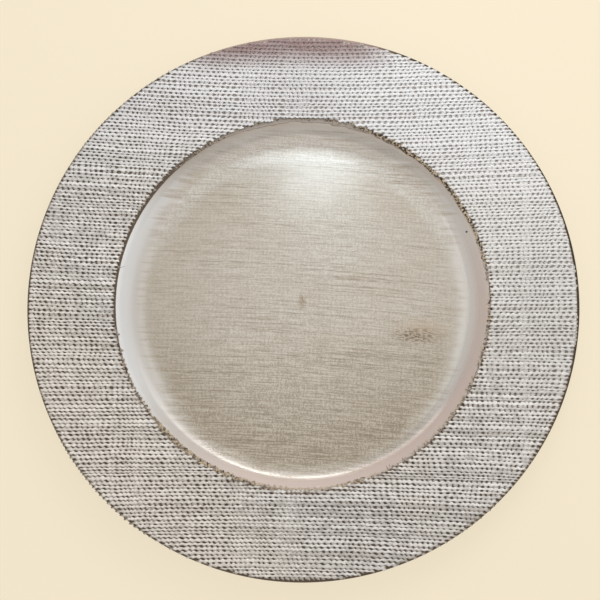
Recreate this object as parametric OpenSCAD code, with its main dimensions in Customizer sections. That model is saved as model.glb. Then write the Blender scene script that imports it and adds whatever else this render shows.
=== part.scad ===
/* [Plate] */
// Overall diameter, measured over the coated lip
plate_d = 330; // [280:1:400]
// Wall thickness of the moulded plate
wall = 2.6; // [1.8:0.1:4]

/* [Well] */
// Radius of the sweep that leads the floor up into the wall
sweep_r = 20; // [10:0.5:24]
// Slope of the wall between the sweep and the shoulder, in degrees
wall_angle = 38; // [28:0.5:45]
// Radius of the shoulder that turns the wall over into the rim
shoulder_r = 6; // [4.5:0.5:9]
// Level distance from the edge of the flat floor to the start of the rim
wall_run = 19; // [17:0.5:30]

/* [Rim] */
// Diameter at which the rim starts, which is also the hole in the woven band
rim_start_d = 225; // [180:1:260]
// Slope at which the rim rises towards the lip, in degrees
rim_angle = 6.5; // [0:0.5:12]

/* [Foot ring] */
// Distance of the foot ring's outer face inside the edge of the flat floor
foot_inset = 6; // [2:0.5:20]
// Width of the foot ring at its lower end, over its rounded edges
foot_w = 3; // [1.5:0.1:6]
// Height of the foot ring below the floor
foot_h = 1.6; // [0.8:0.1:4]
// Extra width of the foot ring at its root, on each side, so that it leaves its mould
foot_draft = 0.3; // [0:0.1:1]
// Radius of the fillet where the foot ring leaves the floor
foot_fillet_r = 0.6; // [0.1:0.1:1.5]
// Radius of the rounded edges on which the foot ring's flat face ends
foot_edge_r = 0.4; // [0.1:0.1:1.5]

/* [Surface layers] */
// Thickness of the dark film that bonds the woven band and coats the lip
film_t = 0.2; // [0.1:0.05:0.5]
// Thickness of the brushed facing that lines the well
facing_t = 0.3; // [0.1:0.05:0.8]

/* [Woven band] */
// Width of a pressed weft yarn
weft_w = 1.6; // [1:0.05:3]
// Gap between neighbouring weft yarns
weft_gap = 0.65; // [0.2:0.05:1.5]
// Thickness of a pressed weft yarn
weft_t = 0.6; // [0.3:0.05:1]
// Width of a pressed warp yarn
warp_w = 1.7; // [1:0.05:3]
// Gap between neighbouring warp yarns
warp_gap = 1.45; // [0.2:0.05:2.5]
// Thickness of a pressed warp yarn
warp_t = 0.5; // [0.3:0.05:1]

/* [Hidden] */

// Facets of a full turn and of each arc in the section
$fn = 180;
arc_steps = 10;

// Most of the foot ring's side, or of its flat face, that one rounding may take
side_share = 0.4;

// Radii at which the section changes direction
rim_start = rim_start_d / 2;
floor_edge = rim_start - wall_run;

// The upper skin of the moulded plate: the floor's height, the straight part of the wall and the rim's start
floor_top = foot_h + wall;
wall_reach = wall_run - sweep_r * sin(wall_angle) - shoulder_r * (sin(wall_angle) - sin(rim_angle));
wall_rise = wall_reach * tan(wall_angle);
sweep_rise = sweep_r * (1 - cos(wall_angle));
shoulder_rise = shoulder_r * (cos(rim_angle) - cos(wall_angle));
rim_floor = floor_top + sweep_rise + wall_rise + shoulder_rise;

// Directions square to the rim and along it
rim_normal = [-sin(rim_angle), cos(rim_angle)];
rim_along = [cos(rim_angle), sin(rim_angle)];

// Centres of the arcs in the section
sweep_centre = [floor_edge, floor_top + sweep_r];
shoulder_centre = [rim_start, rim_floor] - shoulder_r * rim_normal;
lip_r = wall / 2;
lip_reach = plate_d / 2 - film_t - lip_r;
rim_length = (lip_reach - rim_start - lip_r * sin(rim_angle)) / cos(rim_angle);
lip_centre = [rim_start, rim_floor] - lip_r * rim_normal + rim_length * rim_along;

// Heights of the layers above the moulded rim
warp_low = film_t;
weft_low = film_t + warp_t;
band_high = weft_low + weft_t;

// Points of an arc from one angle to another, measured from +X towards +Y
function arc(centre, radius, from, to) =
    [for (step = [0:arc_steps])
        let (angle = from + (to - from) * step / arc_steps)
        centre + radius * [cos(angle), sin(angle)]];

// An arc in place of a corner, which leaves the line from the point before and joins the line to the point after
function rounded_corner(before, corner, after, radius) =
    let (
        back = (before - corner) / norm(before - corner),
        ahead = (after - corner) / norm(after - corner),
        half = acos(back * ahead) / 2,
        centre = corner + (back + ahead) / norm(back + ahead) * radius / sin(half),
        start = corner + back * radius / tan(half) - centre,
        stop = corner + ahead * radius / tan(half) - centre,
        from = atan2(start[1], start[0]),
        turn = atan2(start[0] * stop[1] - start[1] * stop[0], start * stop))
    arc(centre, radius, from, from + turn);

// The same points in the other order
function reversed(points) = [for (i = [len(points) - 1:-1:0]) points[i]];

// The wall's skin at a height above the moulded one, from the edge of the floor to the start of the rim
function wall_line(height) = concat(
    arc(sweep_centre, sweep_r - height, -90, -90 + wall_angle),
    arc(shoulder_centre, shoulder_r + height, 90 + wall_angle, 90 + rim_angle));

// The well's skin at a height above the moulded one, from the axis to the start of the rim
function well_line(height) = concat([[0, floor_top + height]], wall_line(height));

// The foot ring's outline, from its outer root round to its inner one; its roundings leave some straight side
function foot_line() =
    let (
        outer = floor_edge - foot_inset,
        inner = outer - foot_w,
        outer_root = [outer + foot_draft, foot_h],
        inner_root = [inner - foot_draft, foot_h],
        fillet = min(foot_fillet_r, foot_h * side_share),
        edge = min(foot_edge_r, foot_h * side_share, foot_w * side_share))
    concat(
        rounded_corner([floor_edge, foot_h], outer_root, [outer, 0], fillet),
        rounded_corner(outer_root, [outer, 0], [inner, 0], edge),
        rounded_corner([outer, 0], [inner, 0], inner_root, edge),
        rounded_corner([inner, 0], inner_root, [0, foot_h], fillet));

// The rim's skin at a height above the moulded one, from its start to the lip
function rim_line(height) =
    [for (reach = [0, rim_length])
        [rim_start, rim_floor] + reach * rim_along + height * rim_normal];

// The rounded lip at a height above the moulded one, from the top of the rim round to its underside
function lip_line(height) = arc(lip_centre, lip_r + height, 90 + rim_angle, -90 + rim_angle);

// A ring that lies on the rim between two heights above the moulded skin
module rim_layer(low, high) {
    rotate_extrude()
        polygon(concat(rim_line(low), reversed(rim_line(high))));
}

// Upright bands side by side across the whole plate, each as wide as a yarn, the last ones whole at the lip
module yarn_bands(width, gap) {
    pitch = width + gap;
    count = floor((lip_reach - width) / pitch);
    for (i = [-count:count])
        translate([-plate_d / 2, i * pitch - width / 2, 0])
            cube([plate_d, width, lip_centre[1] + wall + band_high]);
}

// The moulded plate: floor, sweep, wall, shoulder, rim and lip in one even wall, on its foot ring
module base_plate() {
    color([0.52, 0.5, 0.47])
        rotate_extrude()
            polygon(concat(
                well_line(0),
                lip_line(0),
                reversed(wall_line(-wall)),
                foot_line(),
                [[0, foot_h]]));
}

// The brushed facing over the floor, the wall and the shoulder
module well_facing() {
    color([0.74, 0.71, 0.66])
        rotate_extrude()
            polygon(concat(well_line(0), reversed(well_line(facing_t))));
}

// The dark film that holds the band to the rim and coats the lip
module bonding_film() {
    color([0.24, 0.19, 0.15])
        rotate_extrude()
            polygon(concat(
                rim_line(0),
                lip_line(0),
                reversed(lip_line(film_t)),
                reversed(rim_line(film_t))));
}

// The warp yarns, front to back, pressed flat on the film
module warp_yarns() {
    color([0.66, 0.63, 0.59])
        intersection() {
            rim_layer(warp_low, weft_low);
            rotate(90)
                yarn_bands(warp_w, warp_gap);
        }
}

// The weft yarns, side to side, over the warp
module weft_yarns() {
    color([0.78, 0.76, 0.72])
        intersection() {
            rim_layer(weft_low, band_high);
            yarn_bands(weft_w, weft_gap);
        }
}

base_plate();
well_facing();
bonding_film();
warp_yarns();
weft_yarns();
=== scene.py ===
# %% [markdown]
# # A charger plate with a woven rim
# A charger is the large plate that lies under a dinner plate. This one is a moulded plate with a brushed
# silver lining in its well and a ring of silvered cloth glued to its rim. The CAD model holds the pieces at
# their real size. This script loads it as a fixed frame and gives every piece the form and the finish that
# the eye sees: rounded edges, a real weave, loose threads, and materials made of nodes.

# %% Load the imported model
import math
from functools import cached_property

import bpy
import numpy as np
from mathutils import Matrix, Vector


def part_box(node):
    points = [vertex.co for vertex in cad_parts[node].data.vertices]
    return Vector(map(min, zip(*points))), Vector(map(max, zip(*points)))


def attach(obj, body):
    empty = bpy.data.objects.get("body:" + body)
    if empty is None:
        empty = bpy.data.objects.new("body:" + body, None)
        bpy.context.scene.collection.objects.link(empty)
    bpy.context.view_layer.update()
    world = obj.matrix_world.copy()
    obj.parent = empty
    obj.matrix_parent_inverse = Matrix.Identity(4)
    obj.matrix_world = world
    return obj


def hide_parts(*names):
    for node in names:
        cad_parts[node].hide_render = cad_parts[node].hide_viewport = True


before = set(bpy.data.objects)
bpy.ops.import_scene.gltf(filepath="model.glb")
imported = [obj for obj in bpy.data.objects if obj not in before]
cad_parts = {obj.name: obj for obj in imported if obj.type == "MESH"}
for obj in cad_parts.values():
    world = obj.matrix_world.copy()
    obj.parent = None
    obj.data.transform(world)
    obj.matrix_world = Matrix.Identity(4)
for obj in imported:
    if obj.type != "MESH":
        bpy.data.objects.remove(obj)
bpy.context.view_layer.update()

print("CAD nodes:", ", ".join(sorted(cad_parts)))

# %% [markdown]
# ## One section for every piece
# The plate is turned: one section, carried round the axis, gives the floor, the sweep, the wall, the
# shoulder, the rim and the lip. The facing, the glue film and the cloth are thin layers on that section, so
# it is worked out once, as a line at any height above the moulded skin. Lengths are in millimetres here,
# and a mesh is turned into metres when it is built.

# %% Sizes of the section
PER_METRE = 1000.0
FULL_TURN = 2 * math.pi
plate_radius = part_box("bonding_film")[1].x * PER_METRE
rim_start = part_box("well_facing")[1].x * PER_METRE
wall = 2.6
wall_run = 19.0
wall_angle = 38.0
sweep_radius = 20.0
shoulder_radius = 6.0
rim_angle = 6.5
foot_height = 1.6
foot_width = 3.0
foot_inset = 6.0
film_thickness = 0.2
facing_thickness = 0.3
band_thickness = 1.1
cloth_outer = plate_radius - 1.35
cloth_shift = (-0.35, -0.4)

floor_edge = rim_start - wall_run
floor_top = foot_height + wall
wall_sine = math.sin(math.radians(wall_angle))
wall_cosine = math.cos(math.radians(wall_angle))
rim_sine = math.sin(math.radians(rim_angle))
rim_cosine = math.cos(math.radians(rim_angle))
wall_reach = wall_run - sweep_radius * wall_sine - shoulder_radius * (wall_sine - rim_sine)
wall_rise = wall_reach * wall_sine / wall_cosine
sweep_rise = sweep_radius * (1 - wall_cosine)
shoulder_rise = shoulder_radius * (rim_cosine - wall_cosine)
rim_floor = floor_top + sweep_rise + wall_rise + shoulder_rise
lip_radius = wall / 2
lip_reach = plate_radius - film_thickness - lip_radius
rim_length = (lip_reach - rim_start - lip_radius * rim_sine) / rim_cosine
lip_centre = (lip_reach, rim_floor - lip_radius * rim_cosine + rim_length * rim_sine)
print(f"Rim from {rim_start:.1f} to {plate_radius:.1f} mm, lip at {lip_centre[1]:.2f} mm height")


# %% Lines of the section
def arc(centre, radius, start, stop, steps=14):
    """Points of an arc: the centre plus the radius times (cos, sin) of an angle that runs from start to
    stop."""
    angle = np.radians(np.linspace(start, stop, steps + 1))
    return np.column_stack([centre[0] + radius * np.cos(angle), centre[1] + radius * np.sin(angle)])


def wall_line(height, steps=14):
    """The sweep and the shoulder as two arcs about fixed centres; a layer's height changes only their
    radii."""
    sweep_centre = (floor_edge, floor_top + sweep_radius)
    shoulder_centre = (rim_start + shoulder_radius * rim_sine, rim_floor - shoulder_radius * rim_cosine)
    sweep = arc(sweep_centre, sweep_radius - height, -90, -90 + wall_angle, steps)
    shoulder = arc(shoulder_centre, shoulder_radius + height, 90 + wall_angle, 90 + rim_angle, steps)
    return np.vstack([sweep, shoulder])


def lip_line(height, stop=-90 + rim_angle):
    """The half round at the edge of the rim, from the top of the rim outwards and down."""
    return arc(lip_centre, lip_radius + height, 90 + rim_angle, stop)


moulded_skin = np.vstack([[[0.0, floor_top]], wall_line(0), lip_line(0, stop=0)])


def skin_height(radius):
    """Height of the moulded skin at a distance from the axis, read off the section."""
    return np.interp(radius, moulded_skin[:, 0], moulded_skin[:, 1])


def smooth_step(value):
    """0 below 0, 1 above 1, and the curve 3v2 - 2v3 between them."""
    level = np.clip(value, 0.0, 1.0)
    return level * level * (3 - 2 * level)


print(f"The moulded skin rises from {skin_height(0):.2f} to {skin_height(lip_reach):.2f} mm")

# %% [markdown]
# ## Meshes from whole arrays
# Blender can be given a mesh one face at a time, with bmesh, or all at once. With more than half a million
# faces of yarn only the second is quick. So each piece is a numpy grid of points, its faces are a grid of
# indices, and foreach_set copies both into the mesh. Each corner of a face also gets a place in a texture
# map named OFBake, which keeps neighbouring surfaces apart when the finish is baked.

# %% Build a piece
no_triangles = np.zeros((0, 3), int)
no_triangle_map = np.zeros((0, 3, 2))


def build_piece(
    name, points, quads, quad_map, replaced, triangles=no_triangles, triangle_map=no_triangle_map
):
    """Copy points in millimetres, faces and map places into one mesh that rides on the plate."""
    mesh = bpy.data.meshes.new(name)
    corners = np.concatenate([quads.ravel(), triangles.ravel()])
    starts = np.concatenate([
        np.arange(len(quads)) * 4,
        len(quads) * 4 + np.arange(len(triangles)) * 3,
    ])
    mesh.vertices.add(len(points))
    mesh.loops.add(len(corners))
    mesh.polygons.add(len(starts))
    mesh.vertices.foreach_set("co", (points / PER_METRE).astype(np.float32).ravel())
    mesh.loops.foreach_set("vertex_index", corners.astype(np.int32))
    mesh.polygons.foreach_set("loop_start", starts.astype(np.int32))
    mesh.update(calc_edges=True)
    places = np.concatenate([quad_map.reshape(-1, 2), triangle_map.reshape(-1, 2)])
    mesh.uv_layers.new(name="OFBake").data.foreach_set("uv", places.astype(np.float32).ravel())
    mesh.shade_smooth()
    piece = bpy.data.objects.new(name, mesh)
    bpy.context.scene.collection.objects.link(piece)
    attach(piece, "root")
    if replaced:
        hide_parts(replaced)
    print(f"{name}: {len(points)} points, {2 * len(quads) + len(triangles)} triangles")
    return piece


def store_values(piece, name, values):
    """Keep one number for every point of a piece, for its material to read."""
    layer = piece.data.attributes.new(name, "FLOAT", "POINT")
    layer.data.foreach_set("value", values.astype(np.float32))


# %% Rings of points
def polar_points(radius, angle, height):
    """A distance from the axis, an angle and a height become x = r cos a, y = r sin a and z."""
    grid = np.stack([radius * np.cos(angle), radius * np.sin(angle), height + 0 * angle], axis=-1)
    return grid.reshape(-1, 3)


def ring_quads(ring, next_ring, turns):
    """Faces between pairs of rings that have as many points as turns: from a point to the next one on its
    ring, over to the other ring, and back."""
    turn = np.arange(turns)
    next_turn = (turn + 1) % turns
    near = ring[:, None] * turns
    far = next_ring[:, None] * turns
    return np.stack([near + turn, near + next_turn, far + next_turn, far + turn], axis=2).reshape(-1, 4)


# %% Smooth chance
def drift(across, along, seed):
    """Smooth chance from -1 to 1: random numbers at whole steps both ways, blended by smooth steps
    between."""
    size = 256
    table = np.random.default_rng(seed).uniform(-1, 1, (size, size))
    low_across = np.floor(across).astype(int)
    low_along = np.floor(along).astype(int)
    part_across = smooth_step(across - low_across)
    part_along = smooth_step(along - low_along)
    row, next_row = low_across % size, (low_across + 1) % size
    column, next_column = low_along % size, (low_along + 1) % size
    near = table[row, column] * (1 - part_along) + table[row, next_column] * part_along
    far = table[next_row, column] * (1 - part_along) + table[next_row, next_column] * part_along
    return near * (1 - part_across) + far * part_across


# %% [markdown]
# ## Shader maths in Python
# A material is a graph of nodes. Written out node by node, a simple sum takes six lines, so three small
# classes help. Socket wraps one output, so that a sum, a product or 1 - mask on sockets adds the Math nodes
# by itself. Nodes fills any tree, a material's or the world's, and Finish is one material. All patterns
# read Object coordinates in millimetres, which stay put when the plate is turned or baked. Most finishes
# are painted as a painter would: a ground colour, then layers over it, each with its share and its colour.


# %% Sockets and trees of nodes
class Socket:
    """One output of a node; arithmetic on it adds Math nodes."""

    def __init__(self, finish, output):
        self.finish = finish
        self.output = output

    def maths(self, operation, first, second):
        return self.finish.node("ShaderNodeMath", {"operation": operation}, {0: first, 1: second})

    def __add__(self, other):
        return self.maths("ADD", self, other)

    def __sub__(self, other):
        return self.maths("SUBTRACT", self, other)

    def __rsub__(self, other):
        return self.maths("SUBTRACT", other, self)

    def __mul__(self, other):
        return self.maths("MULTIPLY", self, other)

    __radd__ = __add__
    __rmul__ = __mul__


class Nodes:
    """A tree of nodes that is filled by short calls."""

    def __init__(self, tree):
        self.tree = tree

    def node(self, kind, settings, sockets, output=0):
        """Add a node, set its settings, then fill its sockets with values or links, and give one output."""
        made = self.tree.nodes.new(kind)
        for name, value in settings.items():
            setattr(made, name, value)
        self.fill(made, sockets)
        return Socket(self, made.outputs[output])

    def fill(self, made, sockets):
        """Put values or links into the sockets of a node."""
        for name, value in sockets.items():
            if isinstance(value, Socket):
                self.tree.links.new(value.output, made.inputs[name])
            else:
                made.inputs[name].default_value = value

    def vector(self, operation, first, second, output="Vector"):
        """Vector maths on two vectors."""
        return self.node("ShaderNodeVectorMath", {"operation": operation}, {0: first, 1: second}, output)

    def share(self, vector, direction):
        """How far a vector reaches along a direction."""
        return self.vector("DOT_PRODUCT", vector, direction, "Value")

    def length(self, vector, stretch):
        """Length of a vector, each direction first multiplied by its share of stretch."""
        stretched = self.vector("MULTIPLY", vector, stretch)
        return self.node("ShaderNodeVectorMath", {"operation": "LENGTH"}, {0: stretched}, "Value")


# %% Finishes
class Finish(Nodes):
    """One material with a Principled shader, and the few patterns that this plate needs."""

    def __init__(self, name):
        self.material = bpy.data.materials.new(name)
        self.material.use_nodes = True
        super().__init__(self.material.node_tree)
        self.shader = self.tree.nodes["Principled BSDF"]
        place = self.node("ShaderNodeTexCoord", {}, {}, "Object")
        self.place = self.vector("MULTIPLY", place, (PER_METRE, PER_METRE, PER_METRE))

    def towards(self, direction):
        """How far a point lies in a direction from the plate's centre, in millimetres."""
        return self.share(self.place, direction)

    @cached_property
    def side(self):
        """How far a point lies to the right."""
        return self.towards((1, 0, 0))

    @cached_property
    def back(self):
        """How far a point lies to the back."""
        return self.towards((0, 1, 0))

    @cached_property
    def radius(self):
        """Distance of a point from the plate's axis."""
        return self.length(self.place, (1, 1, 0))

    def noise(self, grain, offset=0.0, detail=2.0, place=None):
        """Cloudy chance about 0.5, whose clouds are as long as grain says, in millimetres, in all or each
        way."""
        lengths = grain if isinstance(grain, tuple) else (grain, grain, grain)
        shares = self.vector("MULTIPLY", place or self.place, tuple(1 / length for length in lengths))
        moved = self.vector("ADD", shares, (offset, offset, offset))
        return self.node("ShaderNodeTexNoise", {}, {"Vector": moved, "Scale": 1.0, "Detail": detail})

    def ramp(self, value, low, high):
        """0 below low, 1 above high, smooth between; low may be the larger."""
        return self.node(
            "ShaderNodeMapRange",
            {"interpolation_type": "SMOOTHSTEP"},
            {"Value": value, "From Min": low, "From Max": high},
        )

    def mix(self, factor, first, second):
        """A colour that goes from the first to the second."""
        first, second = [
            colour if isinstance(colour, Socket) else (*colour, 1) for colour in (first, second)
        ]
        return self.node("ShaderNodeMix", {"data_type": "RGBA"}, {0: factor, 6: first, 7: second}, 2)

    def paint(self, ground, *layers):
        """A ground colour with layers over it, one after the other; a layer is its share and its colour."""
        for share, colour in layers:
            ground = self.mix(share, ground, colour)
        return ground

    def value(self, name):
        """A number that the mesh keeps at every point."""
        return self.node("ShaderNodeAttribute", {"attribute_name": name}, {}, "Fac")

    def spot(self, centre, reach):
        """A soft oval: 1 at its centre and 0 at its reach, both in millimetres."""
        away = self.vector("SUBTRACT", self.place, centre)
        return self.ramp(self.length(away, tuple(1 / length for length in reach)), 1.0, 0.0)

    def bump(self, height, depth):
        """A bumped normal; depth is the height of the relief in millimetres."""
        sockets = {"Height": height, "Distance": depth / PER_METRE, "Strength": 1.0}
        return self.node("ShaderNodeBump", {}, sockets)

    def shaded(self, sockets):
        """Fill the shader's sockets and give the finished material."""
        self.fill(self.shader, sockets)
        print(f"{self.material.name}: {len(self.tree.nodes)} nodes")
        return self.material


# %% [markdown]
# ## The moulded plate
# Under its dressing the charger is one injection-moulded plate of grey plastic, 2.6 mm thick all over. Only
# its underside shows. Its outline is drawn again with finer steps than the CAD node has, rounded where the
# foot ring leaves the floor and where it stands, and carried round the axis.


# %% Carry an outline round the axis
def revolve(name, outline, replaced, shown, hidden):
    """Each point of an outline (r, z) becomes a ring. The outline starts and ends on the axis, where fans
    of triangles close both poles. In the map, shown and hidden are the sizes of the discs for the faces
    that point up and for those that point down."""
    turns = 240
    spoke = np.arange(turns)
    next_spoke = (spoke + 1) % turns
    rings = outline[1:-1]
    step = np.arange(len(rings) - 1)
    quads = ring_quads(step, step + 1, turns)
    ring_points = polar_points(rings[:, :1], spoke * FULL_TURN / turns, rings[:, 1:])
    points = np.vstack([ring_points, [[0, 0, outline[0, 1]], [0, 0, outline[-1, 1]]]])
    first_pole, last_pole = len(ring_points), len(ring_points) + 1
    last_ring = (len(rings) - 1) * turns
    triangles = np.concatenate([
        np.column_stack([np.full(turns, first_pole), next_spoke, spoke]),
        np.column_stack([np.full(turns, last_pole), last_ring + spoke, last_ring + next_spoke]),
    ])
    quad_map = disc_map(points, quads, shown, hidden)
    triangle_map = disc_map(points, triangles, shown, hidden)
    return build_piece(name, points, quads, quad_map, replaced, triangles, triangle_map)


def disc_map(points, faces, shown, hidden):
    """Look down on faces that point up and, mirrored, up at those that point down. The larger disc lies in
    the middle of the map, and the smaller one in its corner."""
    large_centre, small_centre = 0.45, 0.93
    corners = points[faces]
    first_edge = corners[:, 1] - corners[:, 0]
    second_edge = corners[:, 2] - corners[:, 0]
    upward = np.cross(first_edge, second_edge)[:, 2] > 0
    size = np.where(upward, shown, hidden)[:, None, None]
    centre = np.where(size == max(shown, hidden), large_centre, small_centre)
    return centre + corners[:, :, :2] / plate_radius * size


# %% The moulded plate with its foot ring
fillet_radius = 0.6
toe_radius = 0.5
foot_steps = 4
foot_outer = floor_edge - foot_inset
foot_inner = foot_outer - foot_width
fillet_height = foot_height - fillet_radius
foot_line = np.vstack([
    arc((foot_inner - fillet_radius, fillet_height), fillet_radius, 90, 0, foot_steps),
    arc((foot_inner + toe_radius, toe_radius), toe_radius, 180, 270, foot_steps),
    arc((foot_outer - toe_radius, toe_radius), toe_radius, 270, 360, foot_steps),
    arc((foot_outer + fillet_radius, fillet_height), fillet_radius, 180, 90, foot_steps),
])
ring_margin = 4.0
floor_rings = np.linspace(ring_margin, foot_inner - ring_margin, num=18)
plate_outline = np.vstack([
    [[0.0, foot_height]],
    np.column_stack([floor_rings, np.full(len(floor_rings), foot_height)]),
    foot_line,
    wall_line(-wall),
    lip_line(0)[::-1],
    wall_line(0)[::-1],
    [[0.0, floor_top]],
])
moulded_plate = revolve(
    "moulded_plate", plate_outline, "base_plate", shown=0.05, hidden=0.44
)


# %% Its satin plastic
def satin_plastic():
    """Warm grey plastic: a fine grain, soft clouds of tone, and patches that handling has worn pale and
    smooth."""
    finish = Finish("satin_plastic")
    ramp, noise = finish.ramp, finish.noise
    cloud = noise(38, offset=3.0)
    rub = ramp(noise((9, 9, 3), offset=8.0, detail=4.0), 0.52, 0.75)
    colour = finish.paint(
        (0.36, 0.34, 0.31),
        (ramp(cloud, 0.3, 0.7), (0.43, 0.41, 0.375)),
        (0.35 * rub, (0.5, 0.48, 0.45)),
    )
    return finish.shaded({
        "Base Color": colour,
        "Roughness": 0.46 + 0.1 * cloud - 0.14 * rub,
        "Normal": finish.bump(noise(0.45, detail=1.0), depth=0.03),
    })


moulded_plate.data.materials.append(satin_plastic())

# %% [markdown]
# ## The brushed facing
# A thin silver lining covers the floor, the wall and the shoulder. It was brushed from side to side, so its
# marks are long thin streaks, crossed by a faint upright linen grain, with brown glaze left in the
# scratches. The streaks are shallower than a hair, so they belong in the material. The form is the section
# again, but the lining is pressed up to 0.185 mm thinner where the sweep starts, which softens the bend.

# %% The lining of the well
thinner = 0.185
bend_reach = 11.0
facing_top = floor_top + facing_thickness
facing_high = wall_line(facing_thickness, steps=36)
bend_share = np.clip((facing_high[:, 0] - floor_edge) / bend_reach, 0, 1)
# The hump is 1 in the middle of the bend and runs out flat at both ends.
bend_hump = 16 * bend_share ** 2 * (1 - bend_share) ** 2
facing_high[:, 1] -= thinner * bend_hump
lining_margin = 3.0
lining_rings = np.linspace(lining_margin, floor_edge - lining_margin, num=24)
facing_outline = np.vstack([
    [[0.0, floor_top]],
    wall_line(0),
    facing_high[::-1],
    np.column_stack([lining_rings[::-1], np.full(len(lining_rings), facing_top)]),
    [[0.0, facing_top]],
])
lining = revolve("well_lining", facing_outline, "well_facing", shown=0.66, hidden=0.07)


# %% Brushed silver with brown glaze in the scratches
def brushed_silver():
    """Streaks are noise drawn out along bent lines from side to side; the linen grain is finer noise, both
    ways. Where a streak is deep, glaze darkens it. The strokes run out raggedly on the wall, further at the
    front and the back than at the sides. The floor is rough under a clear lacquer, which thins before the
    bend and towards the front. The floor is darker towards its edge and at the left, and a painted
    highlight makes it paler at the back where it meets the wall. The bare wall is smoother and blurred at
    the left; on it lie a painted rosy reflection at the front right, a painted silvery highlight at the
    front left, painted shadow of the frayed ends next to the cut cloth, and at the back a brown near the
    cut cloth that is glue stain and painted shade. At the back a bump softens the bend."""
    finish = Finish("brushed_silver")
    ramp, noise, spot, paint = finish.ramp, finish.noise, finish.spot, finish.paint
    side, back = finish.side, finish.back
    beyond_floor = finish.radius - floor_edge
    beyond_cut = finish.radius - rim_start
    bow = back + 0.05 * side + 0.0003 * side * side
    bent = finish.node("ShaderNodeCombineXYZ", {}, {"X": side, "Y": bow})

    at_front = ramp(back, -45, -85)
    at_right = ramp(side, 65, 92) * ramp(back, -45, -10) * ramp(back, 50, 20)
    forward = ramp(back, 20, -95)
    ragged = noise((34, 2.4, 30), offset=29.0, place=bent)
    reach = beyond_floor - 13 * ramp(back, 20, 100) - 6 * at_front + (22 - 14 * at_front) * (ragged - 0.5)
    brushed = ramp(reach + 3 * at_right, 8, -4)
    flat = ramp(beyond_floor, 8, 3.5)
    lacquer = ramp(beyond_floor, 3, -4 - 22 * ramp(back, 40, -40))
    near_bend = ramp(beyond_floor, -16, -2) * ramp(back, 55, 85) * ramp(side * side, 3000, 300)
    on_shoulder = ramp(beyond_cut, -7.6, -6)

    hair = noise((9, 0.5, 30), detail=3.0, place=bent)
    stroke = noise((90, 1.0, 60), offset=5.0, place=bent)
    bank = noise((110, 13, 60), offset=11.0, place=bent)
    upright = noise((0.7, 1.5, 9), offset=17.0, detail=1.0)
    level = noise((16, 0.75, 9), offset=19.0, place=bent)
    dots = noise((0.5, 0.5, 9), offset=37.0, detail=1.0)
    wander = noise((7, 16, 9), offset=47.0, detail=1.0)
    rib = finish.node("ShaderNodeMath", {"operation": "SINE"}, {0: 2.35 * side + 9 * wander})
    linen = ramp(0.24 * upright + 0.4 * level + 0.36 * dots + 0.013 * rib, 0.42, 0.58)
    scratch = ramp(stroke, 0.48, 0.62) * ramp(hair, 0.4, 0.58)
    glaze = scratch * (0.3 + 0.4 * ramp(bank, 0.42, 0.6) + 0.3 * forward) * brushed
    flecks = noise((2.8, 0.75, 9), offset=43.0, place=bent)
    scuff = spot((69, -18, floor_top), (21, 7.5, 30)) * (0.15 + 0.85 * ramp(flecks, 0.46, 0.58))
    haze = spot((71, -15, floor_top), (22, 10, 30))
    smudge = spot((-0.5, 2, floor_top), (3.6, 7, 30)) * (0.35 + 0.65 * linen)
    speck = ramp(spot((98.6, 45.0, 10.5), (1.1, 1.0, 6)), 0.25, 0.6)

    # the floor is darker towards its edge and at the left
    darker_out_and_left = 0.42 * ramp(finish.radius, 30, floor_edge) + 0.2 * ramp(side, -25, -75)
    floor_colour = paint(
        (0.64, 0.59, 0.52),
        (ramp(noise((55, 40, 40), offset=23.0), 0.3, 0.7), (0.675, 0.64, 0.58)),
        (0.85 * forward, (0.62, 0.545, 0.443)),
        (darker_out_and_left, (0.5, 0.445, 0.37)),
        (0.8 * ramp(back, 70, 100), (0.49, 0.475, 0.45)),
    )
    rising = ramp(beyond_floor + 2.5 * at_right, -1, 8)
    # painted reflection: a rosy tint on the wall at the front right
    painted_rosy_reflection = ramp(finish.towards((0.6, -0.8, 0)), 0, 70) * ramp(beyond_floor, 8.5, 13)
    # painted highlight: a pale silvery band on the wall at the front left
    painted_silver_highlight = ramp(side, -55, -105) * ramp(back, -85, -45) * ramp(beyond_floor, 8, 14)
    # brown on the shoulder next to the cloth at the back: glue stain and painted shade under the cloth's edge
    glue_and_shade_at_back = ramp(beyond_cut, -6, -0.5) * ramp(back, 30, 100)
    # painted shadow of the frayed ends on the shoulder next to the cut cloth, except at the left
    painted_shadow_at_cut = ramp(beyond_cut, -3.5, -0.5) * ramp(side, -75, -25)
    wall_colour = paint(
        (0.54, 0.5, 0.44),
        (ramp(side, -60, -90), (0.49, 0.45, 0.39)),
        (rising, (0.67, 0.64, 0.6)),
        (0.85 * painted_rosy_reflection, (0.67, 0.56, 0.505)),
        (painted_silver_highlight, (0.8, 0.8, 0.795)),
        (0.85 * glue_and_shade_at_back, (0.34, 0.285, 0.235)),
        (0.45 * painted_shadow_at_cut, (0.42, 0.34, 0.28)),
    )
    # painted highlight: the floor's edge and the foot of the wall are paler at the back, where the lamp's
    # glow lies
    painted_glow = ramp(back, 20, 60) * ramp(beyond_floor, -6, 0) * ramp(beyond_floor, 10, 5)
    grain_brown = finish.mix(forward, (0.4, 0.34, 0.265), (0.3, 0.25, 0.185))
    colour = paint(
        wall_colour,
        (brushed, floor_colour),
        (0.5 * painted_glow, (0.72, 0.705, 0.68)),
        (linen * brushed * (0.6 + 0.25 * forward), grain_brown),
        (0.8 * glaze, (0.3, 0.24, 0.17)),
        (0.4 * haze, (0.56, 0.4, 0.25)),
        (scuff, (0.15, 0.1, 0.05)),
        (0.9 * smudge, (0.29, 0.215, 0.12)),
        (speck, (0.03, 0.025, 0.02)),
    )

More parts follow.
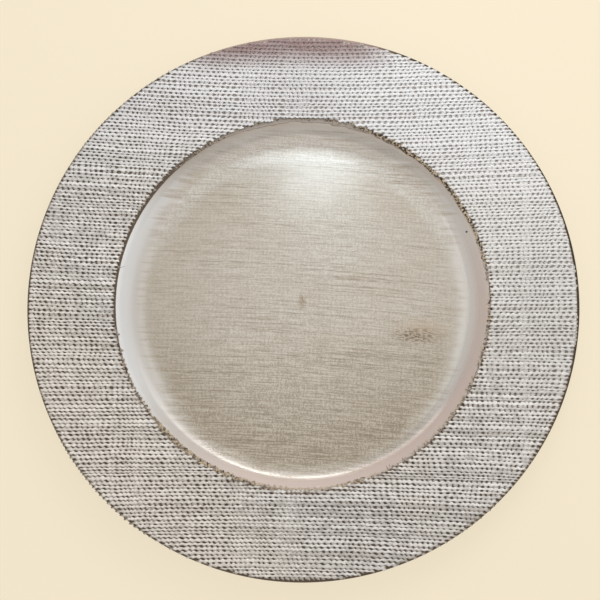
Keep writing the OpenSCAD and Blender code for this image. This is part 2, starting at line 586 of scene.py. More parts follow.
    blurred = ramp(side, -35, -75) * (1 - flat)
    roughness = 0.19 + (0.3 - 0.16 * near_bend) * flat + 0.26 * on_shoulder
    relief = (0.5 * stroke + 0.35 * hair + 0.5 * linen) * brushed * ramp(beyond_floor, 1, -5)
    softer_bend = ramp(beyond_floor, 1.5, 13) * ramp(back, 35, 75)
    return finish.shaded({
        "Base Color": colour,
        "Metallic": 0.78,
        "Roughness": roughness + 0.1 * glaze + 0.12 * blurred,
        "Coat Weight": lacquer,
        "Coat Roughness": 0.14,
        "Normal": finish.bump(0.06 * relief - 1.1 * softer_bend, depth=1.0),
    })


lining.data.materials.append(brushed_silver())

# %% [markdown]
# ## The glue film
# A dark brown film holds the cloth down. It shows as the dark dots between the yarns, as the thin line
# round the lip, and as an uneven bead where it was squeezed out at the cut edge of the cloth. The section
# gives the line of the film, and smooth chance moves its inner edge in and out, so the bead is as ragged as
# a real one.


# %% The film, from its bead round the lip
def film_upper():
    """The upper line of the film, from under the cloth to the underside of the lip."""
    start = rim_start + 1.2
    rise = np.array([-rim_sine, rim_cosine]) * film_thickness
    first = np.array([start, skin_height(start)]) + rise
    return np.vstack([[first], lip_line(film_thickness)])


def film_lower():
    """The line where the film meets the plate."""
    start = rim_start - 0.02
    return np.vstack([[[start, skin_height(start)]], lip_line(0)])


def glue_film():
    """A grid of outline and angle: the outline is the film's closed section, and the points of its bead
    move along the shoulder by smooth chance that depends on the angle. Little glue came out at the left and
    at the right."""
    turns = 900
    angle = np.arange(turns) * FULL_TURN / turns
    steps_round = 90
    inner_rings = 2
    circle_steps = angle / FULL_TURN * steps_round
    creep = 0.85 + 0.45 * drift(circle_steps, 0 * angle, 41) + 0.55 * drift(circle_steps * 3, 0 * angle, 42)
    away_from_left = smooth_step(1.6 - 2 * np.cos(angle - math.radians(165)))
    away_from_right = smooth_step(1.75 - 2 * np.cos(angle - math.radians(350)))
    edge_radius = rim_start - 0.1 - np.clip(creep, 0.15, 1.7) * away_from_left * away_from_right
    bead = [
        (edge_radius, facing_thickness - 0.04),
        (edge_radius + 0.1, facing_thickness + 0.05),
        (0.7 * edge_radius + 0.3 * rim_start + 0.1, facing_thickness + 0.09),
        (0.3 * edge_radius + 0.7 * rim_start + 0.1, facing_thickness + 0.12),
        (0 * angle + rim_start + 0.5, film_thickness + 0.16),
    ]
    bead_rings = [(radius, skin_height(radius) + rise) for radius, rise in bead]
    plain_rings = np.vstack([film_lower(), film_upper()[::-1]])
    outline = [(0 * angle + radius, 0 * angle + z) for radius, z in plain_rings] + bead_rings[::-1]
    radius, z = np.swapaxes(outline, 0, 1)
    count = len(outline)
    step, turn = np.meshgrid(np.arange(count), np.arange(turns), indexing="ij")
    quads = ring_quads(np.arange(count), (np.arange(count) + 1) % count, turns)
    across = np.stack([step, step, step + 1, step + 1], axis=2).reshape(-1, 4) / count
    around = np.stack([turn, turn + 1, turn + 1, turn], axis=2).reshape(-1, 4) / turns
    places = np.stack([around, across], axis=2)
    points = polar_points(radius, angle, z)
    piece = build_piece("glue_film", points, quads, places, "bonding_film")
    on_inner_line = np.repeat(np.arange(count) >= count - inner_rings, turns)
    store_values(piece, "inner_line", on_inner_line * 1.0)
    return piece


film = glue_film()


# %% Brown glue
def brown_glue():
    """Dark brown and a little uneven in colour and gloss, and paler under the cloth towards the back right,
    which is painted light. The bead is pale at the front and the left, dark at the right, and ends in a thin
    brown line. At the back, bead and film by the hole are grey-brown, painted shade under the cloth's edge. A
    darker mauve patch of painted shade and reflection lies at the back of the lip, and the outermost edge is
    worn a little."""
    finish = Finish("brown_glue")
    ramp, noise, paint = finish.ramp, finish.noise, finish.paint
    side, back, radius = finish.side, finish.back, finish.radius
    cloud = noise(3.5, detail=3.0)
    # lit_side grows towards the back right, where the light is: it paints the film paler there, which is
    # painted light, and also tints the bead and the bare film
    lit_side = ramp(finish.towards((0.6, 0.8, 0)), -40, 150)
    bare = ramp(radius, cloth_outer - 0.8, cloth_outer) + ramp(radius, rim_start + 4.0, rim_start + 1.0)
    blobs = noise(1.6, offset=14.0, detail=1.0) - 0.1 * lit_side
    squeezed = ramp(radius, rim_start + 0.3, rim_start - 0.2) * ramp(blobs, 0.41, 0.5)
    at_front = finish.spot((8, -112, 14), (46, 16, 30))
    # painted shade: glue by the hole at the back is grey-brown like the shade under the cloth's edge
    at_back = ramp(back, 75, 105) * ramp(side, 70, 25) * ramp(radius, rim_start + 3.0, rim_start + 1.6)
    at_left = ramp(side, -78, -102)
    at_right = ramp(finish.towards((1, -0.2, 0)), 70, 105)
    # painted shade and reflection: a darker mauve patch at the back of the lip
    painted_mauve_on_lip = ramp(back, 120, 150) * ramp(side, -84, -50) * ramp(side, 64, 24)
    worn = ramp(noise(7, offset=9.0, detail=3.0), 0.42, 0.62) * ramp(radius, plate_radius - 0.5, plate_radius)
    grey_brown = (0.3, 0.265, 0.235)
    bare_brown = finish.mix(lit_side, (0.1, 0.072, 0.05), (0.03, 0.02, 0.013))
    bead_brown = paint(
        (0.45, 0.355, 0.25),
        (lit_side, (0.34, 0.27, 0.19)),
        (at_right, (0.11, 0.075, 0.05)),
        (0.75 * at_front, (0.6, 0.5, 0.42)),
        (0.85 * at_back, grey_brown),
        (0.7 * at_left, (0.5, 0.465, 0.425)),
    )
    colour = paint(
        (0.1, 0.078, 0.06),
        (ramp(cloud, 0.35, 0.65), (0.165, 0.13, 0.1)),
        (lit_side, (0.45, 0.41, 0.37)),
        (bare, bare_brown),
        (0.85 * at_back, grey_brown),
        (squeezed, bead_brown),
        (finish.value("inner_line"), (0.12, 0.075, 0.042)),
        (painted_mauve_on_lip * bare, (0.3, 0.225, 0.2)),
        (0.25 * worn, (0.25, 0.2, 0.16)),
    )
    return finish.shaded({
        "Base Color": colour,
        "Roughness": 0.5 + 0.2 * cloud,
        "Specular IOR Level": 0.3,
        "Normal": finish.bump(noise(0.5, offset=4.0), depth=0.06),
    })


film.data.materials.append(brown_glue())

# %% [markdown]
# ## Where the yarns lie
# The cloth is coarse and ribbed: thick weft yarns lie side by side as rows, and the flatter warp that ties
# them shows only in the gaps between the rows, where it leans. Real rows are never even, so their pitches
# come from chance, they spread a little towards both sides, and the warp wanders and is carried sideways
# from gap to gap, so that the dots between the rows are staggered. A row's place is a number that can also
# be read backwards: a point's row number, with its fraction, says how far a warp yarn leans there.

# %% Rows and columns
weft_width = 1.6
weft_gap = 0.65
warp_width = 1.7
warp_gap = 1.45
chance = np.random.default_rng(2)


def uneven_yarns(width, gap, width_spread, gap_spread):
    """Widths and gaps that vary by chance, laid side by side from edge to edge and centred on the plate.
    Gives the place of each yarn's middle and its width."""
    most = 1.8
    count = int(2 * cloth_outer / (width + gap)) + 3
    widths = width * (1 + width_spread * np.clip(chance.standard_normal(count), -most, most))
    gaps = gap * (1 + gap_spread * np.clip(chance.standard_normal(count), -most, most))
    places = np.cumsum(widths + gaps) - widths / 2
    return places - (places[0] + places[-1]) / 2, widths


row_place, row_width = uneven_yarns(weft_width, weft_gap, width_spread=0.16, gap_spread=0.3)
column_place, column_width = uneven_yarns(warp_width, warp_gap, width_spread=0.16, gap_spread=0.34)
print(f"{len(row_place)} rows and {len(column_place)} columns of yarn")


# %% How rows and columns stray
def towards_back(across, along):
    """How far a place lies towards the back right, as a share of the plate's radius."""
    return (0.6 * across + 0.8 * along) / plate_radius


def row_sway(across, along):
    """How far a row is pushed out of line: slowly by chance, and outwards towards both sides."""
    spread = 1.3 * (along / 100) * (across / 100) ** 2
    slow = 0.3 * drift(across / 34, along / 13, 51) + 0.2 * drift(across / 9, along / 2.3, 52)
    return spread + slow + 0.1 * drift(across / 1.9, along / 1.3, 56)


def row_number(across, along):
    """The number of the row at a place, with its fraction."""
    return np.interp(along - row_sway(across, along), row_place, np.arange(len(row_place)))


def column_sway(number, along):
    """How far a column wanders out of line, each in its own way."""
    return 0.4 * drift(number, along / 2.3, 53) + 0.8 * drift(number / 9, along / 45, 54)


def gap_shift(row, across):
    """Each gap between rows carries its warp sideways: left and right by turns, and by its own amount,
    which changes slowly along the gap. The smooth steps of chance put the move from one gap to the next
    under the row, where it is hidden."""
    by_turns, by_chance = 0.7, 1.1
    gap = row + 0.5
    return by_turns * np.cos(np.pi * gap) + by_chance * drift(gap, across / 26, 57)


def gap_lean(across, along):
    """How far the dots in the gaps lean: to the right at the back, to the left at the front, uneven by
    chance."""
    back = towards_back(across, along)
    at_back, at_front = 0.16, 0.45
    return np.where(back > 0, at_back, at_front) * back + 0.25 * drift(across / 25, along / 11, 55)


def column_lean(across, along, row):
    """A warp yarn leans in each gap and swings back under each row: sin w + half of sin 2w, which is steep
    at the middle of the gap, where w, the row's phase, is nought."""
    phase = FULL_TURN * (row + 0.5)
    return gap_lean(across, along) * (np.sin(phase) + 0.5 * np.sin(2 * phase))


def column_number(across, row, level):
    """The number of the column at a place in a row, with its fraction; level 0.5 is the gap above the row
    and -0.5 the one below. All rows are laid end to end, so that one look-up serves them."""
    columns = np.arange(len(column_place))
    rows = np.arange(len(row_place))[:, None]
    crossing = column_place[None, :] + column_sway(columns[None, :], row_place[:, None])
    crossing = crossing + gap_shift(rows + level, crossing)
    apart = 10 * plate_radius
    laid_out = (crossing + apart * rows).ravel()
    return np.interp(across + apart * row, laid_out, np.tile(columns, len(row_place)))


# %% [markdown]
# ## Cutting the ring
# The cloth was laid, and its hole cut, a little off the plate's centre, so both edges are shifted. Where
# the yarns meet the hole's edge square on they are cut evenly; where it runs along them, their ends are
# ragged.

# %% Pieces of yarn across a ring
hole_radius = rim_start + 0.7
hole_shift = (-0.5, 1.2)


def hole_edge(angle):
    """Distance of the hole's edge from the plate's axis, at an angle."""
    return hole_radius + hole_shift[0] * np.cos(angle) + hole_shift[1] * np.sin(angle)


def cut_yarns(places, runs):
    """Cut lines at these places, which run along X when runs is 0 and along Y when it is 1, by the ring of
    cloth: a line that misses the hole gives one yarn, the others two. Gives each yarn's number, start and
    end. By chance an end at the hole stands out or falls short, and an end at the lip falls short a
    little."""
    overhang, shortfall, lip_shortfall = 1.3, 0.6, 0.2
    edge_margin = 1.0
    along, across = cloth_shift[runs], cloth_shift[1 - runs]
    hole_along, hole_across = hole_shift[runs], hole_shift[1 - runs]
    number = np.flatnonzero(np.abs(places - across) < cloth_outer - edge_margin)
    place = places[number]
    reach = np.sqrt(cloth_outer ** 2 - (place - across) ** 2)
    hole = np.sqrt(np.clip(hole_radius ** 2 - (place - hole_across) ** 2, 0, None))
    crosses = hole > 0
    numbers = np.concatenate([number[~crosses], number[crosses], number[crosses]])
    low, high = along - reach, along + reach
    starts = np.concatenate([low[~crosses], low[crosses], hole_along + hole[crosses]])
    ends = np.concatenate([high[~crosses], hole_along - hole[crosses], high[crosses]])
    count = len(numbers)
    uneven = 0.3 + 0.7 * np.clip(np.abs(places[numbers]) / rim_start, 0, 1)
    starts_off = uneven * chance.uniform(-overhang, shortfall, count)
    starts = starts + np.where(starts > 0, starts_off, lip_shortfall * chance.random(count))
    ends_off = uneven * chance.uniform(-shortfall, overhang, count)
    ends = ends + np.where(ends < 0, ends_off, -lip_shortfall * chance.random(count))
    order = np.argsort(numbers, kind="stable")
    return numbers[order], starts[order], ends[order]


def rings_along(starts, ends, step):
    """Places of the rings of every yarn, one array for all: which yarn each belongs to, and where it is."""
    counts = np.ceil((ends - starts) / step).astype(int) + 1
    yarn = np.repeat(np.arange(len(starts)), counts)
    first = np.repeat(np.cumsum(counts) - counts, counts)
    share = (np.arange(len(yarn)) - first) / (counts[yarn] - 1)
    return yarn, starts[yarn] + (ends - starts)[yarn] * share


# %% [markdown]
# ## A tube for every yarn
# A yarn is a profile carried along a path: a pressed oval, eight-sided with most of its sides on top, where
# it shows. A number kept at each point says how much brown glaze lies there. The glaze fills what is low,
# the gaps and the cut ends, and the silver was rubbed on last, so it lies on what is high.

# %% The pressed oval
oval_angles = np.radians([0, 36, 72, 108, 144, 180, 235, 305])
oval_sharpness = 0.85
oval_side = np.sign(np.cos(oval_angles)) * np.abs(np.cos(oval_angles)) ** oval_sharpness
oval_rise = np.sign(np.sin(oval_angles)) * np.abs(np.sin(oval_angles)) ** oval_sharpness
oval_sides = len(oval_angles)


def brown_share(points, evenness):
    """How brown each point is: 1 low in the cloth and 0 on top, more at the cut edges but less at the left of
    the hole, and patchy by chance, with less brown towards the back right as painted light. On the warp the
    glaze lies more evenly: evenness draws all points towards a share that falls only towards the back, also
    painted light."""
    x, y, z = points.T
    radius = np.hypot(x, y)
    edge_radius = np.hypot(x - cloth_shift[0], y - cloth_shift[1])
    level = (z - skin_height(radius) - film_thickness) / band_thickness
    wiped = 1 - 0.75 * smooth_step((-x - 78) / 24)
    at_hole = wiped * smooth_step((rim_start + 3.0 - radius) / 3.2)
    at_lip = smooth_step((edge_radius - cloth_outer + 0.9) / 1.1)
    patch = drift(x / 8, y / 5, 61)
    fleck = drift(x / 1.4, y / 1.1, 62)
    back = towards_back(x, y)
    # painted light: less glaze, so paler yarn, towards the back right, where the light is
    lit_side = np.where(back > 0, 0.32, 0.14) * back
    level = level + lit_side + 0.05 * patch + 0.15 * fleck - 0.42 * at_lip
    level = level - 0.7 * at_hole * smooth_step((0.95 - level) / 0.4)
    share = 1 - smooth_step((level - 0.2) / 0.74)
    # painted light: the warp's glaze also thins towards the back right
    even_share = 0.62 - 0.52 * np.clip(back, -0.1, 1) + 0.1 * fleck
    even_share = even_share + wiped * (0.9 + 0.5 * fleck) * smooth_step((rim_start + 3.6 - radius) / 1.8)
    return share + evenness * (np.clip(even_share, 0, 1) - share)


def yarn_tone(yarn, along):
    """A small difference in brightness from yarn to yarn, and along each."""
    steady = drift(yarn, 0 * along, 71)
    changing = drift(yarn, along * 60, 72)
    quick = drift(yarn, along * 150, 73)
    return 0.5 * steady + 0.35 * changing + 0.4 * quick


# %% Carry the oval along many paths at once
def yarn_tubes(name, centre, side, half_width, half_height, yarn, lane, along, evenness, replaced):
    """A point is the ring's centre, plus the side direction times half the width times the oval's side
    share, plus straight up times half the height times its rise share. Neighbouring rings of one yarn are
    joined by quads, and the two ends are closed. In the map each lane of yarns is a strip, along it and
    round it."""
    straight_up = np.array([0, 0, 1.0])
    sideways = side[:, None, :] * (half_width[:, None] * oval_side)[:, :, None]
    upwards = straight_up * (half_height[:, None] * oval_rise)[:, :, None]
    points = (centre[:, None, :] + sideways + upwards).reshape(-1, 3)
    new_yarn = yarn[1:] != yarn[:-1]
    joined = np.flatnonzero(~new_yarn)
    skin = ring_quads(joined, joined + 1, oval_sides)
    strip = np.arange(oval_sides // 2 - 1)
    cap = np.stack([strip, strip + 1, oval_sides - 2 - strip, oval_sides - 1 - strip], axis=1)
    firsts = np.flatnonzero(np.concatenate([[True], new_yarn]))
    lasts = np.flatnonzero(np.concatenate([new_yarn, [True]]))
    start_caps = (firsts[:, None, None] * oval_sides + cap[None, :, ::-1]).reshape(-1, 4)
    end_caps = (lasts[:, None, None] * oval_sides + cap[None]).reshape(-1, 4)
    quads = np.concatenate([skin, start_caps, end_caps])

    cap_width = 0.0012
    strip_margin = 0.04
    corner_turn = (np.tile(np.arange(oval_sides), len(centre)) / oval_sides)[quads]
    closing = corner_turn[: len(skin), 1:3]
    closing[closing == 0] = 1.0
    corner_along = np.repeat(along, oval_sides)[quads]
    shift = cap_width * np.sin(np.pi * corner_turn)
    caps_from, caps_to = len(skin), len(skin) + len(start_caps)
    corner_along[caps_from:caps_to] -= shift[caps_from:caps_to]
    corner_along[caps_to:] += shift[caps_to:]
    in_strip = strip_margin + (1 - 2 * strip_margin) * corner_turn
    corner_across = (np.repeat(lane, oval_sides)[quads] + in_strip) / (lane.max() + 1)
    places = np.stack([corner_along, corner_across], axis=2)

    piece = build_piece(name, points, quads, places, replaced)
    store_values(piece, "brown", brown_share(points, evenness))
    store_values(piece, "tone", np.repeat(yarn_tone(yarn, along), oval_sides))
    return piece


# %% [markdown]
# ## Weft and warp
# Both sets of yarns follow the rim. A weft yarn rises a little over every warp yarn and grows wider there,
# so that its row has scalloped edges, and the warp rises in the gaps between the rows. The sets are split
# into bands, because a mesh that is too heavy is thinned when it is exported.

# %% Sizes of the yarns
weft_step = 0.5
weft_swing = 0.06
weft_bulge = 0.32
weft_half_height = 0.3
warp_step = 0.31
warp_swing = 0.15
warp_half_height = 0.25
warp_swell = 0.45
back_swing = 0.06
headroom = 0.03
end_dip = 0.1
weft_height = film_thickness + band_thickness - weft_half_height - weft_swing - headroom
warp_height = film_thickness + warp_half_height + warp_swing
print(f"Weft at {weft_height:.2f} mm and warp at {warp_height:.2f} mm over the rim")


def end_taper(place, starts, ends):
    """Width share of a yarn near its ends: a quarter of an ellipse over the last stretch."""
    stretch = 2.2
    narrowest = 0.34
    left = np.minimum(place - starts, ends - place)
    share = np.clip(left / stretch, 0, 1)
    return narrowest + (1 - narrowest) * np.sqrt(1 - (1 - share) ** 2)


def in_bands(name, bands, node, parts, place_column, evenness):
    """Split yarns into bands by their number, each with nearly the same count of rings, and build each
    band. A new yarn starts where the place along it falls back or jumps over the hole."""
    longest_step = 1.5
    map_half = 0.495
    centre, side, half_width, half_height, number = parts
    made = []
    for band in range(bands):
        low = int(len(number) * band / bands)
        high = int(len(number) * (band + 1) / bands)
        first_number = number[low] if band == 0 else number[low] + 1
        last_number = number[high - 1] if band == bands - 1 else number[high]
        keep = (number >= first_number) & (number <= last_number)
        place = centre[keep, place_column]
        step = np.diff(place, prepend=place[0])
        yarn = np.cumsum((step < 0) | (step > longest_step))
        along = 0.5 + map_half * place / plate_radius
        lane = number[keep] - number[keep].min()
        made.append(yarn_tubes(
            f"{name}_{band + 1}", centre[keep], side[keep], half_width[keep], half_height[keep],
            yarn, lane, along, evenness, node,
        ))
    return made


# %% Weft yarns, from side to side
def weft_yarns():
    """Height = rim + weft height + swing times the mean of cos(2 pi column) in the gaps above and below the
    row. Each edge of the row bulges by the cosine of its own gap, so a gap nearly closes over each warp
    yarn and opens into a round dot between two of them."""
    numbers, starts, ends = cut_yarns(row_place, runs=0)
    yarn, x = rings_along(starts, ends, weft_step)
    number = numbers[yarn]
    line = row_place[number]
    y = line + row_sway(x, line)
    lean = gap_lean(x, y)
    above = np.cos(FULL_TURN * column_number(x + lean, number, 0.5))
    below = np.cos(FULL_TURN * column_number(x - lean, number, -0.5))
    taper = end_taper(x, starts[yarn], ends[yarn])
    slub = 1 + 0.1 * drift(number, x / 6, 81) + 0.12 * drift(number, x / 1.6, 83)
    plain_half = 0.5 * row_width[number] * slub * taper
    upper_half = plain_half * (1 + weft_bulge * above)
    lower_half = plain_half * (1 + weft_bulge * below)
    swing = 0.5 * weft_swing * (above + below)
    z = skin_height(np.hypot(x, y)) + weft_height + swing - end_dip * (1 - taper)
    centre = np.column_stack([x, y + 0.5 * (upper_half - lower_half), z])
    side = np.column_stack([0 * x, 0 * x + 1, 0 * x])
    half_height = weft_half_height * taper * 0.5 * (1 + slub)
    return centre, side, 0.5 * (upper_half + lower_half), half_height, number


weft_pieces = in_bands("weft_band", 4, "weft_yarns", weft_yarns(), place_column=0, evenness=0.0)


# %% Warp yarns, from front to back
def warp_yarns():
    """Height = rim + warp height - swing times cos(2 pi row), with the row number, and its fraction, read
    back from the place along the yarn. The outermost yarns are held inside the cloth's edge."""
    numbers, starts, ends = cut_yarns(column_place, runs=1)
    yarn, y = rings_along(starts, ends, warp_step)
    number = numbers[yarn]
    line = column_place[number] + column_sway(number, y)
    row = row_number(line, y)
    x = line + gap_shift(row, line) + column_lean(line, y, row)
    between_rows = -np.cos(FULL_TURN * row)
    taper = end_taper(y, starts[yarn], ends[yarn])
    slub = 1 + 0.3 * drift(number, y / 1.7, 82)
    half_width = 0.5 * column_width[number] * slub * taper * (1 + warp_swell * between_rows)
    reach = np.sqrt(np.clip(cloth_outer ** 2 - (y - cloth_shift[1]) ** 2, 0, None)) - 0.5 * half_width
    x = cloth_shift[0] + np.clip(x - cloth_shift[0], -reach, reach)
    swing = warp_swing + back_swing * np.clip(towards_back(x, y), 0, 1)
    z = skin_height(np.hypot(x, y)) + warp_height + swing * between_rows - end_dip * (1 - taper)
    centre = np.column_stack([x, y, z])
    side = np.column_stack([0 * x - 1, 0 * x, 0 * x])
    half_height = warp_half_height * taper * 0.5 * (1 + slub)
    return centre, side, half_width, half_height, number


warp_pieces = in_bands("warp_band", 5, "warp_yarns", warp_yarns(), place_column=1, evenness=0.75)


# %% Silvered yarn
def silvered_yarn():
    """Silver paint on yarn: its share against brown glaze comes from the mesh, its brightness differs from
    yarn to yarn, and fine fibres run from side to side. Painted light makes it warmer and paler at the
    front left, greyer at the back and the right, towards the light, and cooler at the back; patches of
    painted shade lie at the back and the right, and a darker mauve patch of painted shade and reflection
    lies at the back of the rim."""
    finish = Finish("silvered_yarn")
    ramp, noise, spot = finish.ramp, finish.noise, finish.spot
    side, back = finish.side, finish.back
    brown = finish.value("brown")
    painted = 1 - brown
    fibre = noise((1.6, 0.28, 0.4))
    towards_light = finish.towards((0.7, 0.7, 0))
    # painted shade and reflection: a darker mauve patch at the back of the rim
    painted_mauve_reflection = ramp(back + 0.0011 * side * side, 141, 160) * ramp(side, -84, -50) * ramp(side, 64, 24)
    painted_mauve_reflection = painted_mauve_reflection * (0.75 + 0.5 * noise((16, 5, 9), offset=2.0))
    colour = finish.paint(
        (0.47, 0.448, 0.417),
        (ramp(0.5 + 0.5 * finish.value("tone"), 0.0, 1.0), (0.78, 0.76, 0.73)),
        (0.25 * ramp(noise(40, offset=6.0), 0.45, 0.75), (0.62, 0.56, 0.49)),
        # painted light: paler and warmer at the front left, away from the light, greyer towards it at the
        # back right, and cooler at the back
        (0.6 * ramp(towards_light, -80, -150), (0.83, 0.77, 0.69)),
        (0.8 * ramp(towards_light, 30, 150), (0.645, 0.64, 0.635)),
        (0.7 * ramp(back, 40, 130), (0.62, 0.63, 0.65)),
        # painted shade: a darker patch at the back and one at the right
        (0.45 * spot((-5, 135, 15), (45, 42, 60)), (0.5, 0.49, 0.49)),
        (0.45 * spot((140, 5, 15), (45, 60, 60)), (0.5, 0.485, 0.465)),
        (painted_mauve_reflection, (0.275, 0.195, 0.193)),
        (brown, (0.215, 0.175, 0.138)),
    )
    return finish.shaded({
        "Base Color": colour,
        "Metallic": 0.25 * painted,
        "Roughness": 0.62 - 0.2 * painted + 0.1 * (fibre - 0.5),
        "Normal": finish.bump(fibre, depth=0.05),
    })


yarn_finish = silvered_yarn()
for piece in weft_pieces + warp_pieces:
    piece.data.materials.append(yarn_finish)

# %% [markdown]
# ## The frayed cut edge
# Where the cloth was cut to the well, its ends fray. Short brown ends stand out over the shoulder from the
# hole's edge, shorter at the left and the back, and in thick lumps at the right. At the front left and the
# back right crimped strands have come loose and lie along the edge. All are thin tubes on paths worked out
# in polar form, angle and distance from the axis, so that they always lie on the shoulder.


# %% Short ends
def short_ends():
    """Distance from the axis, angle, lift and half thickness, each a grid of end and ring: ends run inwards
    at a slant and curl. They are shorter round two directions, the first is one long thread, the last are
    the lumps."""
    count, rings = 790, 8
    root_depth = 0.5
    lump_count = 170
    lump_middle, lump_spread = math.radians(26), 0.52
    share = np.linspace(0, 1, rings)[None, :]
    angle = chance.uniform(0, FULL_TURN, (count, 1))
    length = chance.uniform(1.2, 3.4, (count, 1))
    slant = chance.normal(0, 0.9, (count, 1))
    curl = chance.normal(0, 0.9, (count, 1))
    for direction, loss, near, fade in ((186, 0.65, 0.78, 0.12), (112, 0.6, 0.75, 0.15)):
        closeness = np.cos(angle - math.radians(direction))
        length = length * (1 - loss * smooth_step((closeness - near) / fade))
    angle[0], length[0], slant[0], curl[0] = math.radians(170.4), 5.4, -0.5, -0.1
    lumps = slice(count - lump_count, count)
    angle[lumps] = lump_middle + chance.normal(0, lump_spread, (lump_count, 1))
    length[lumps] = chance.uniform(0.9, 2.0, (lump_count, 1))
    turned = slant + curl * share
    inwards = length * np.cumsum(np.cos(turned), axis=1) / rings
    sideways = length * np.cumsum(np.sin(turned), axis=1) / rings
    lift = chance.uniform(0.0, 0.25, (count, 1)) * np.sin(math.pi * share)
    thick = chance.uniform(0.1, 0.19, (count, 1)) * (1 - 0.5 * share)
    thick[lumps] = chance.uniform(0.26, 0.42, (lump_count, 1)) * (1 - 0.4 * share)
    return hole_edge(angle) + root_depth - inwards, angle + sideways / rim_start, lift, thick


# %% Loose strands
def loose_strands():
    """The same four grids for strands that follow the edge and swing about it in the zigzag that the weave
    pressed into them. Half of them lie at the front left and half at the back right."""
    count, rings = 120, 50
    inside_edge = 0.3
    most_inwards = 0.8
    middle_lift = 0.12
    half = count // 2
    run = np.linspace(0, 1, rings)[None, :]
    length = chance.uniform(7, 24, (count, 1))
    zigzag = chance.uniform(2.8, 4.4, (count, 1))
    swing = chance.uniform(0.6, 1.5, (count, 1))
    phase = chance.uniform(0, 1, (count, 1))
    front_left = math.radians(232) + chance.normal(0, 0.42, (half, 1))
    back_right = math.radians(36) + chance.normal(0, 0.55, (count - half, 1))
    angle = np.concatenate([front_left, back_right]) + run * length / rim_start
    wave = FULL_TURN * (run * length / zigzag + phase)
    radius = hole_edge(angle) - inside_edge + swing * np.cos(wave)
    radius = radius - most_inwards * run * chance.uniform(-0.6, 1, (count, 1))
    lift = middle_lift + middle_lift * np.sin(wave)
    thick = chance.uniform(0.15, 0.27, (count, 1)) + 0 * run
    return radius, angle, lift, thick


# %% All threads as one piece
def frayed_threads():
    """Height = shoulder + facing + a thread's own half thickness + its lift. A tube's side is square to the
    way it runs, which at each end is taken from the ring beside it."""
    kinds = [short_ends(), loose_strands()]
    radius, angle, lift, thick = [np.concatenate([grid.ravel() for grid in grids]) for grids in zip(*kinds)]
    sizes = [kind[0].shape for kind in kinds]
    along = np.concatenate([np.tile(np.linspace(0, 1, rings), count) for count, rings in sizes])
    yarn = np.cumsum(along == 0) - 1
    centre = polar_points(radius, angle, skin_height(radius) + facing_thickness + thick + lift)
    forward = np.gradient(centre, axis=0)
    last = np.flatnonzero(yarn[1:] != yarn[:-1])
    forward[last] = forward[last - 1]
    forward[last + 1] = forward[last + 2]
    side = np.column_stack([-forward[:, 1], forward[:, 0], 0 * angle])
    side = side / np.linalg.norm(side, axis=1, keepdims=True)
    map_margin = 0.01
    along = map_margin + (1 - 2 * map_margin) * along
    return yarn_tubes(
        "frayed_threads", centre, side, thick, thick, yarn, yarn, along, evenness=0.0, replaced=None
    )


fray = frayed_threads()


# %% Brown thread
def brown_thread():
    """Cut cotton soaked with brown glaze, dark and pale in patches, paler at the front."""
    finish = Finish("brown_thread")
    ramp, noise = finish.ramp, finish.noise
    cloud = noise(2.2, detail=3.0)
    patch = noise(1.5, offset=31.0, detail=1.0) + 0.05 * finish.value("tone")
    pale = ramp(cloud, 0.4, 0.56) * ramp(finish.towards((0.6, 0.8, 0)), 90, -60)
    at_front = finish.spot((8, -112, 14), (46, 16, 30))
    colour = finish.paint(
        (0.04, 0.026, 0.016),
        (ramp(patch, 0.44, 0.56), (0.46, 0.37, 0.26)),
        (0.75 * at_front, (0.6, 0.51, 0.43)),
        (0.4 * pale, (0.6, 0.49, 0.36)),
    )
    return finish.shaded({
        "Base Color": colour,
        "Roughness": 0.6 + 0.2 * cloud,
        "Normal": finish.bump(noise(0.3, offset=2.0), depth=0.04),
    })


fray.data.materials.append(brown_thread())

# %% [markdown]
# ## Floor and light
# The plate lies on a plain cream floor. Part of what the camera sees of the floor shines by itself, so that
# the cream stays even, and the rest takes light and shadow. The light is a room's: a small lamp overhead,
# towards the back, whose reflection glows at the back of the well; a low window strip behind, with a
# fainter end and a faint glow above it, which draws the thin bright line on the front wall; two panels that
# gloss does not show, so that they brighten without a reflection; a weak one from the left; a low rosy
# fill; and a gentle all-round light.


# %% A cream floor
def cream_floor():
    """A flat grid as a stage, in a cream finish that is partly its own light for camera, mirror and clear
    rays."""
    half = 3.0
    lines = 9
    own_light = 0.85
    cream = (0.913, 0.812, 0.624, 1)
    places = np.linspace(-half, half, lines)
    x, y = np.meshgrid(places, places, indexing="ij")
    points = np.column_stack([x.ravel(), y.ravel(), 0 * x.ravel()])
    row, column = np.meshgrid(np.arange(lines - 1), np.arange(lines - 1), indexing="ij")
    corner = (row * lines + column).ravel()
    faces = np.column_stack([corner, corner + lines, corner + lines + 1, corner + 1])
    mesh = bpy.data.meshes.new("floor")
    mesh.from_pydata(points.tolist(), [], faces.tolist())
    floor = bpy.data.objects.new("floor", mesh)
    bpy.context.scene.collection.objects.link(floor)
    finish = Finish("cream_paper")
    mesh.materials.append(finish.shaded({"Base Color": cream, "Roughness": 0.9, "Specular IOR Level": 0.0}))
    camera_ray, mirror_ray, clear_ray = [
        finish.node("ShaderNodeLightPath", {}, {}, f"Is {kind} Ray")
        for kind in ("Camera", "Glossy", "Transmission")
    ]
    rays = {0: camera_ray + mirror_ray + clear_ray, 1: 1.0}
    share = finish.node("ShaderNodeMath", {"operation": "MINIMUM"}, rays)
    matte = Socket(finish, finish.shader.outputs["BSDF"])
    glow = finish.node("ShaderNodeEmission", {}, {"Color": cream, "Strength": 0.97})
    blend = finish.node("ShaderNodeMixShader", {}, {0: share * own_light, 1: matte, 2: glow})
    finish.tree.links.new(blend.output, finish.tree.nodes["Material Output"].inputs["Surface"])


cream_floor()


